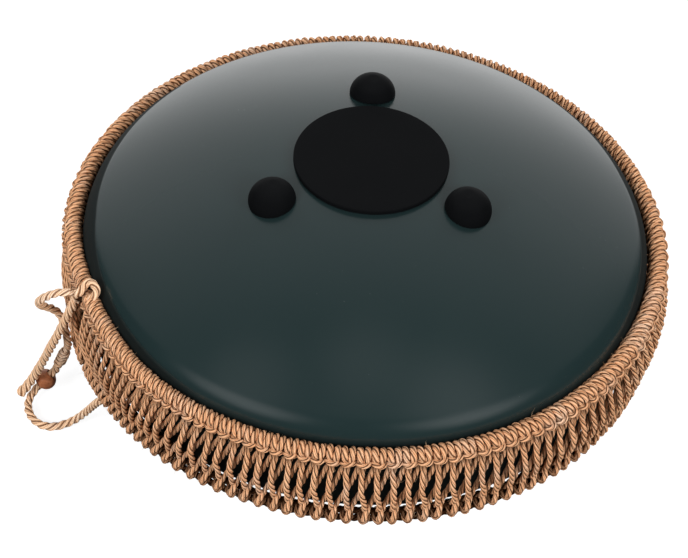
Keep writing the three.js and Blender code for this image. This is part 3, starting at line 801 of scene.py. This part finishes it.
def strayFibres(f):
    mesh = PieceMesh("strayFibres")
    local = np.random.default_rng(f["seed"])
    ring = (2 * np.pi * np.arange(3) / 3)[None, :, None]
    for line, radius, share in ropeLines:
        run = runOf(line)
        for _ in range(local.poisson(f["perMetre"] * share * run[-1] * mm)):
            k = local.integers(2, len(line) - 2)
            ahead = line[k + 1] - line[k - 1]
            ahead /= np.linalg.norm(ahead)
            out = np.cross(ahead, local.normal(size=3))
            out /= np.linalg.norm(out)
            length = local.uniform(*f["length"]) * local.uniform(0.5, 1)
            lean = local.uniform(-f["lean"], f["lean"])
            curl = np.cross(ahead, out) * local.uniform(-f["curl"], f["curl"])
            t = np.linspace(0, 1, f["steps"])[:, None]
            root = line[k] + out * radius[k] * 0.75
            path = root + length * (t * (out * 0.6 + ahead * lean) + t**2 * (curl - 0.35 * out))
            side, lift = carriedFrame(path)
            thick = f["thick"] * (1 - 0.6 * t)
            around = np.cos(ring) * side[:, None, :] + np.sin(ring) * lift[:, None, :]
            mesh.addTube(path[:, None, :] + thick[:, None] * around, runOf(path), local.uniform(0, 0.6))
    return mesh


def fibreMaterial(f):
    mat, tree, shader, place = newMaterial("juteFibre")
    colour = blendColour(tree, grain(tree, place, 160.0), f["dull"], f["bright"])
    dress(tree, shader, colour, remap(tree, grain(tree, place, 400.0), 0.3, 0.7, 0.6, 0.85))
    return mat


settle(strayFibres(fibre).build(fibreMaterial(fibre)), "drum", "jute")
print("ring cords and fibres made")

# painted steel shells
shell = {
    "radius": 152.5, "wall": 1.6, "crown": 275.0, "knuckle": 18.0, "flange": 18.0, "flat": 34.0,
    "lip": 6.0, "joggle": 3.0, "lap": 0.3, "seat": 0.3, "hole": 30.0,
    "crownSteps": 44, "knuckleSteps": 14, "flatSteps": 6, "segments": 192,
    "paint": (0.0135, 0.0270, 0.0276, 1), "paintLow": (0.0115, 0.0230, 0.0241, 1),
    "dust": (0.16, 0.17, 0.17, 1), "roughness": 0.17,
    # painted shade and dark reflection on the shoulder (metres): on the upper shell it starts further out
    # towards the front, whose direction is edgeAim, and it leaves the far rim bare
    "paintShoulderShade": (0.0015, 0.0035, 0.0036, 1), "shoulderShadeShare": 0.85, "edgeWidth": 0.0018,
    "edgeAim": (0.174, -0.985, 0), "edgeStart": (-0.1, 0.75, 0.1438, 0.1506),
    "edgeFar": (-0.8, -0.62, 0.1520, 0.0), "edgeUpper": (0.080, 0.090, 0.0, 1.0),
}
crownDrop = math.sqrt((shell["crown"] - shell["knuckle"]) ** 2 - (shell["radius"] - shell["knuckle"]) ** 2)
headDepth = math.sqrt(shell["crown"] ** 2 - shell["flat"] ** 2) - crownDrop + shell["flange"]
bottomRim = headDepth + shell["seat"]


def paintMaterial(s):
    mat, tree, shader, place = newMaterial("paintedSteel")
    cloud = grain(tree, place, 7.0, 3.0, 0.5)
    peel = grain(tree, place, 620.0, 2.0, 0.5)
    fine = grain(tree, place, 2600.0, 2.0, 0.5)
    speck = node(tree, "TexVoronoi", {"Vector": place, "Scale": 240.0}).outputs["Distance"]
    spots = remap(tree, speck, 0.03, 0.07, 1.0, 0.0)
    dust = times(tree, spots, remap(tree, grain(tree, place, 31.0), 0.55, 0.7, 0.0, 0.35))
    # the shoulder's painted shade and dark reflection: a band whose start radius is set by the direction
    # towards the front
    flat = node(tree, "VectorMath", {0: place, 1: (1, 1, 0)}, operation="MULTIPLY").outputs[0]
    reach = lengthOf(tree, flat)
    upper = remap(tree, dotOf(tree, place, (0, 0, 1)), *s["edgeUpper"])
    near = times(tree, calc(tree, "DIVIDE", dotOf(tree, flat, s["edgeAim"]), reach), upper)
    start = remap(tree, near, *s["edgeStart"])
    start = calc(tree, "MAXIMUM", start, remap(tree, near, *s["edgeFar"]))
    past = calc(tree, "SUBTRACT", reach, start)
    edge = remap(tree, past, 0.0, s["edgeWidth"], 0.0, s["shoulderShadeShare"], True)
    colour = blendColour(tree, cloud, s["paintLow"], s["paint"])
    colour = blendColour(tree, edge, colour, s["paintShoulderShade"])
    colour = blendColour(tree, dust, colour, s["dust"])
    uneven = times(tree, grain(tree, place, 22.0, 4.0), 0.12)
    rough = calc(tree, "ADD", s["roughness"], uneven)
    rough = calc(tree, "ADD", rough, times(tree, dust, 0.3))
    rough = calc(tree, "MAXIMUM", rough, edge)
    relief = bumpOf(tree, peel, 0.00003, 0.35)
    dress(tree, shader, colour, rough, bumpOf(tree, fine, 0.00001, 0.4, relief))
    shader.inputs["IOR"].default_value = 1.5
    return mat


paint = paintMaterial(shell)


def arc(centre, radius, start, end, steps):
    angles = (start + (end - start) * k / steps for k in range(steps + 1))
    return [(centre[0] + radius * math.cos(a), centre[1] + radius * math.sin(a)) for a in angles]


def headCurve(depth):
    s = shell
    knuckle = (s["radius"] - s["knuckle"], s["flange"])
    meeting = math.acos(knuckle[0] / (s["crown"] - s["knuckle"]))
    edge = math.acos(s["flat"] / s["crown"])
    side = arc(knuckle, s["knuckle"] - depth, 0, meeting, s["knuckleSteps"])
    return side + arc((0, s["flange"] - crownDrop), s["crown"] - depth, meeting, edge, s["crownSteps"])[1:]


def spread(start, end, steps):
    return [tuple(a + (b - a) * k / steps for a, b in zip(start, end)) for k in range(1, steps)]


def bottomShell(s):
    lipOuter = s["radius"] - s["wall"] - s["lap"]
    lipInner = lipOuter - s["wall"]
    inner, outer = headCurve(s["wall"])[::-1], headCurve(0)
    section = [(s["hole"], headDepth - s["wall"])] + inner
    section += [(s["radius"] - s["wall"], s["wall"] + s["joggle"]), (lipInner, s["wall"])]
    section += [(lipInner, -s["lip"]), (lipOuter, -s["lip"]), (lipOuter, 0), (s["radius"], 0)]
    section += outer + [(s["hole"], headDepth)]
    place = Matrix.Translation((0, 0, bottomRim * mm))
    return turnedPiece("bottomShell", section, s["segments"], paint, place)


# tongues cut by narrow U-shaped slots, longest first and stepping from side to side
tongues = {
    "count": 8, "tip": 47.0, "length": (70.0, 46.0), "width": (34.0, 25.0), "slot": 1.8,
    "middleLength": 44.0, "middleWidth": 30.0, "curve": 18, "cutFrom": -6.0, "cutHeight": 60.0,
}


def slotOutline(width, length):
    outer, inner = width / 2 + tongues["slot"] / 2, width / 2 - tongues["slot"] / 2
    wide = arc((outer, 0), outer, math.pi / 2, 1.5 * math.pi, tongues["curve"])
    narrow = arc((outer, 0), inner, 1.5 * math.pi, math.pi / 2, tongues["curve"])
    return [(length, outer)] + wide + [(length, -outer), (length, -inner)] + narrow + [(length, inner)]


def slotCutters():
    made = bmesh.new()

    def addSlot(width, length, shift, angle):
        outline = slotOutline(width, length)
        turn = Matrix.Rotation(-angle, 3, "Z")
        spots = (Vector(((x + shift) * mm, -y * mm, tongues["cutFrom"] * mm)) for x, y in outline)
        low = [made.verts.new(turn @ spot) for spot in spots]
        top = [made.verts.new(v.co + Vector((0, 0, tongues["cutHeight"] * mm))) for v in low]
        made.faces.new(low[::-1])
        made.faces.new(top)
        for k in range(len(low)):
            n = (k + 1) % len(low)
            made.faces.new((low[k], low[n], top[n], top[k]))

    t = tongues
    for k in range(t["count"]):
        share = k / (t["count"] - 1)
        width = t["width"][0] + share * (t["width"][1] - t["width"][0])
        length = t["length"][0] + share * (t["length"][1] - t["length"][0])
        side = 1 if k % 2 == 0 else -1
        angle = side * math.ceil(k / 2) * 2 * math.pi / t["count"]
        addSlot(width, length, t["tip"], angle + math.pi / 2)
    addSlot(t["middleWidth"], t["middleLength"], -t["middleLength"] / 2, math.pi / 2)
    return addObject("slotCutters", meshOf("slotCutters", made))


def tongueShell(s):
    inner, outer = headCurve(s["wall"])[::-1], headCurve(0)
    flatIn, flatOut = (0, headDepth - s["wall"]), (0, headDepth)
    section = [flatIn] + spread(flatIn, inner[0], s["flatSteps"]) + inner
    section += [(s["radius"] - s["wall"], 0), (s["radius"], 0)] + outer
    section += spread(outer[-1], flatOut, s["flatSteps"]) + [flatOut]
    section = [(r, headDepth - z) for r, z in section]
    piece = turnedPiece("tongueShell", section, s["segments"], paint)
    cutter = slotCutters()
    cut = piece.modifiers.new("slots", "BOOLEAN")
    cut.operation = "DIFFERENCE"
    cut.solver = "EXACT"
    cut.object = cutter
    made = piece.evaluated_get(bpy.context.evaluated_depsgraph_get())
    mesh = bpy.data.meshes.new_from_object(made)
    piece.modifiers.clear()
    piece.data = mesh
    bpy.data.objects.remove(cutter)
    mesh.set_sharp_from_angle(angle=sharpAngle)
    return piece


settle(bottomShell(shell), "drum", "painted_steel", "bottom_shell")
settle(tongueShell(shell), "drum", "painted_steel", "tongue_shell")
print("shells made")

# rubber cap and feet
rubber = {
    "colour": (0.0040, 0.0043, 0.0048, 1), "worn": (0.0070, 0.0074, 0.0080, 1), "roughness": (0.55, 0.70),
}
cap = {
    "radius": 41.0, "thick": 2.2, "edge": 0.7, "clear": 0.4, "spigotWall": 3.0, "spigot": 9.0,
    "segments": 160, "edgeSteps": 8, "topSteps": 8, "topWearAndLight": 0.4,
}
foot = {
    "count": 3, "circle": 58.4, "radius": 12.5, "height": 11.2, "chamfer": 0.35, "stem": 2.9,
    "barb": 4.6, "barbLength": 3.5, "segments": 72, "steps": 22, "topWearAndLight": 1.0,
}


def rubberMaterial(name, r, topWearAndLight):
    mat, tree, shader, place = newMaterial(name)
    cloud = grain(tree, place, 35.0, 4.0)
    fine = grain(tree, place, 1500.0, 2.0)
    facing = node(tree, "SeparateXYZ", {0: node(tree, "NewGeometry").outputs["Normal"]}).outputs[2]
    # up-facing faces are painted lighter: partly scuffs and wear, partly painted light from above
    top = remap(tree, facing, 0.55, 0.98, 0.0, topWearAndLight, True)
    wearAndLitTop = times(tree, top, remap(tree, cloud, 0.35, 0.7, 0.35, 1.0))
    colour = blendColour(tree, wearAndLitTop, r["colour"], r["worn"])
    rough = remap(tree, cloud, 0.3, 0.7, *r["roughness"])
    dress(tree, shader, colour, rough, bumpOf(tree, fine, 0.00003, 0.5))
    shader.inputs["Specular IOR Level"].default_value = 0.03
    return mat


def portCap(c):
    outer = shell["hole"] - c["clear"]
    inner = outer - c["spigotWall"]
    corner = (c["radius"] - c["edge"], c["thick"] - c["edge"])
    section = [(0, 0), (inner, 0), (inner, -c["spigot"]), (outer, -c["spigot"]), (outer, 0)]
    section += [(c["radius"], 0)] + arc(corner, c["edge"], 0, math.pi / 2, c["edgeSteps"])
    section += [(c["radius"] * k / c["topSteps"], c["thick"]) for k in range(c["topSteps"] - 1, -1, -1)]
    place = Matrix.Translation((0, 0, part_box("port_cap")[1].z - c["thick"] * mm))
    material = rubberMaterial("capRubber", rubber, c["topWearAndLight"])
    return turnedPiece("rubberCap", section, c["segments"], material, place)


def rubberFoot(f, index, material):
    barbTop = -shell["wall"] - shell["seat"]
    angles = (math.pi / 2 * k / f["steps"] for k in range(f["steps"]))
    dome = [(f["radius"] * math.cos(a), shell["seat"] + f["height"] * math.sin(a)) for a in angles]
    section = [(0, barbTop - f["barbLength"]), (f["stem"], barbTop - f["barbLength"]), (f["barb"], barbTop)]
    section += [(f["stem"], barbTop), (f["stem"], shell["seat"])]
    section += [(f["radius"] - f["chamfer"], shell["seat"])] + dome + [(0, shell["seat"] + f["height"])]
    angle = math.pi / 2 + index * 2 * math.pi / f["count"]
    tilt = math.asin(f["circle"] / shell["crown"])
    crownMiddle = bottomRim + shell["flange"] - crownDrop
    place = Matrix.Translation((0, 0, crownMiddle * mm)) @ Matrix.Rotation(angle, 4, "Z")
    place = place @ Matrix.Rotation(tilt, 4, "Y") @ Matrix.Translation((0, 0, shell["crown"] * mm))
    piece = turnedPiece(f"rubberFoot{index + 1}", section, f["segments"], material, place)
    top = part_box(f"foot_{index + 1}")[1].z  # worn flat
    for v in piece.data.vertices:
        v.co.z = min(v.co.z, top)
    return piece


settle(portCap(cap), "cap", "black_rubber", "port_cap")
footRubber = rubberMaterial("footRubber", rubber, foot["topWearAndLight"])
for index in range(foot["count"]):
    settle(rubberFoot(foot, index, footRubber), "drum", "black_rubber", f"foot_{index + 1}")
print("cap and feet made")

# floor, room and lamps
room = {
    "floorSize": 8, "floorDrop": 0.0004, "floorColour": (0.32, 0.32, 0.32, 1), "floorGlow": 0.86,
    "mirroredColour": (0.05, 0.05, 0.05, 1), "mirroredFloor": 1.6,
    "lampSize": 0.8, "lampAim": (0, 0, 0.08),
    "lamps": [
        {"names": ("rightFront", "leftFront"), "place": (1.1, -1.23, 1.03), "power": 23.6},
        {"names": ("rightBack", "leftBack"), "place": (1.1, 1.2, 1.1), "power": 10.4},
    ],
    # levels of the room: for ropes and floor, for what the paint mirrors, and behind (level and falloff)
    "fill": 0.2, "sky": 0.12, "behind": ((0.95, 0.9), (0.66, 14.0)),
    # dark flags stand on both sides, up to a height, and the room in front is dark
    "flagSide": (0.72, 0.86, 0.0, 0.94, True), "flagTop": (0.62, 0.8, 1.0, 0.0, True),
    "flagFront": (-0.7, -0.32, 0.94, 0.0, True),
    # soft lights that only the paint mirrors: where they stand, how wide they are, their level
    "mirrored": [
        {"toward": (-0.418, -0.213, 0.883), "spread": math.radians(12), "level": 0.42},
        {"toward": (0.384, -0.269, 0.883), "spread": math.radians(15), "level": 0.56},
        {"toward": (0.03, -0.171, 0.985), "spread": math.radians(12), "level": 0.37},
    ],
    # the same, low in front, for the shoulder of the shell
    "low": [
        {"toward": (-0.585, -0.600, 0.545), "spread": math.radians(26), "level": 1.1},
        {"toward": (0.565, -0.620, 0.545), "spread": math.radians(26), "level": 1.1},
    ],
}


def layFloor(r):
    mesh = bpy.data.meshes.new("floor")
    size = r["floorSize"]
    corners = [(x * size, y * size, 0) for x, y in ((-1, -1), (1, -1), (1, 1), (-1, 1))]
    mesh.from_pydata(corners, [], [(0, 1, 2, 3)])
    mat, tree, shader, place = newMaterial("floorWhite")
    tone = grain(tree, place, 3.0)
    colour = blendColour(tree, tone, r["floorColour"], tuple(c * 0.97 for c in r["floorColour"][:3]) + (1,))
    # the paint sees the white floor only behind the drum, as between dark flags
    path = node(tree, "LightPath")
    colour = blendColour(tree, path.outputs["Is Glossy Ray"], colour, r["mirroredColour"])
    tree.links.new(colour, shader.inputs["Base Color"])
    shader.inputs["Roughness"].default_value = 1.0
    shader.inputs["Specular IOR Level"].default_value = 0.0
    shader.inputs["Emission Color"].default_value = (1, 1, 1, 1)
    spot = node(tree, "SeparateXYZ", {0: place})
    behind = remap(tree, spot.outputs[1], 0.12, 0.5, 0.0, 1.0, True)
    slope = calc(tree, "ABSOLUTE", spot.outputs[0])
    slope = calc(tree, "DIVIDE", slope, calc(tree, "MAXIMUM", spot.outputs[1], 0.01))
    behind = times(tree, behind, remap(tree, slope, 0.6, 1.5, r["mirroredFloor"], 0.0, True))
    mirrored = times(tree, path.outputs["Is Glossy Ray"], behind)
    # far from the lamps the floor glows more, so it meets the backdrop without a line
    seen = remap(tree, lengthOf(tree, place), 0.45, 1.2, r["floorGlow"], 1.0, True)
    seen = times(tree, path.outputs["Is Camera Ray"], seen)
    glow = calc(tree, "MAXIMUM", seen, times(tree, mirrored, r["floorGlow"]))
    tree.links.new(glow, shader.inputs["Emission Strength"])
    mesh.materials.append(mat)
    floor = addObject("floor", mesh)
    floor.location.z = -r["floorDrop"]


def addSoft(tree, toward, level, lights):
    for soft in lights:
        facing = dotOf(tree, toward, soft["toward"])
        bright = remap(tree, facing, math.cos(soft["spread"]), 1.0, 0.0, soft["level"], True)
        level = calc(tree, "ADD", level, bright)
    return level


def lightRoom(r):
    world = bpy.data.worlds.new("room")
    scene.world = world
    world.use_nodes = True
    tree = world.node_tree
    tree.nodes.clear()
    out = node(tree, "OutputWorld")
    toward = node(tree, "TexCoord").outputs["Generated"]
    path = node(tree, "LightPath")
    ways = node(tree, "SeparateXYZ", {0: toward})
    backward = remap(tree, ways.outputs[1], 0.0, 1.0, 0.0, 1.0)
    wide, near = (times(tree, calc(tree, "POWER", backward, drop), bright) for bright, drop in r["behind"])
    level = calc(tree, "ADD", calc(tree, "ADD", wide, near), r["sky"])
    level = addSoft(tree, toward, level, r["mirrored"])
    flagged = remap(tree, calc(tree, "ABSOLUTE", ways.outputs[0]), *r["flagSide"])
    flagged = times(tree, flagged, remap(tree, ways.outputs[2], *r["flagTop"]))
    flagged = calc(tree, "MAXIMUM", flagged, remap(tree, ways.outputs[1], *r["flagFront"]))
    level = times(tree, level, calc(tree, "SUBTRACT", 1.0, flagged))
    level = addSoft(tree, toward, level, r["low"])
    strength = blend(tree, path.outputs["Is Glossy Ray"], r["fill"], level)
    strength = blend(tree, path.outputs["Is Camera Ray"], strength, 1.0)
    back = node(tree, "Background", {"Color": (1, 1, 1, 1), "Strength": strength})
    tree.links.new(back.outputs[0], out.inputs["Surface"])
    for lamp in r["lamps"]:
        for name, side in zip(lamp["names"], (1, -1)):
            data = bpy.data.lights.new(name, "AREA")
            data.shape = "DISK"
            data.size = r["lampSize"]
            data.energy = lamp["power"]
            made = addObject(name, data)
            made.location = Vector(lamp["place"]) * Vector((side, 1, 1))
            aim = Vector(r["lampAim"]) - made.location
            made.rotation_euler = aim.to_track_quat("-Z", "Y").to_euler()
            made.visible_glossy = False


layFloor(room)
lightRoom(room)
scene.view_settings.view_transform = "Standard"
print("room lit")
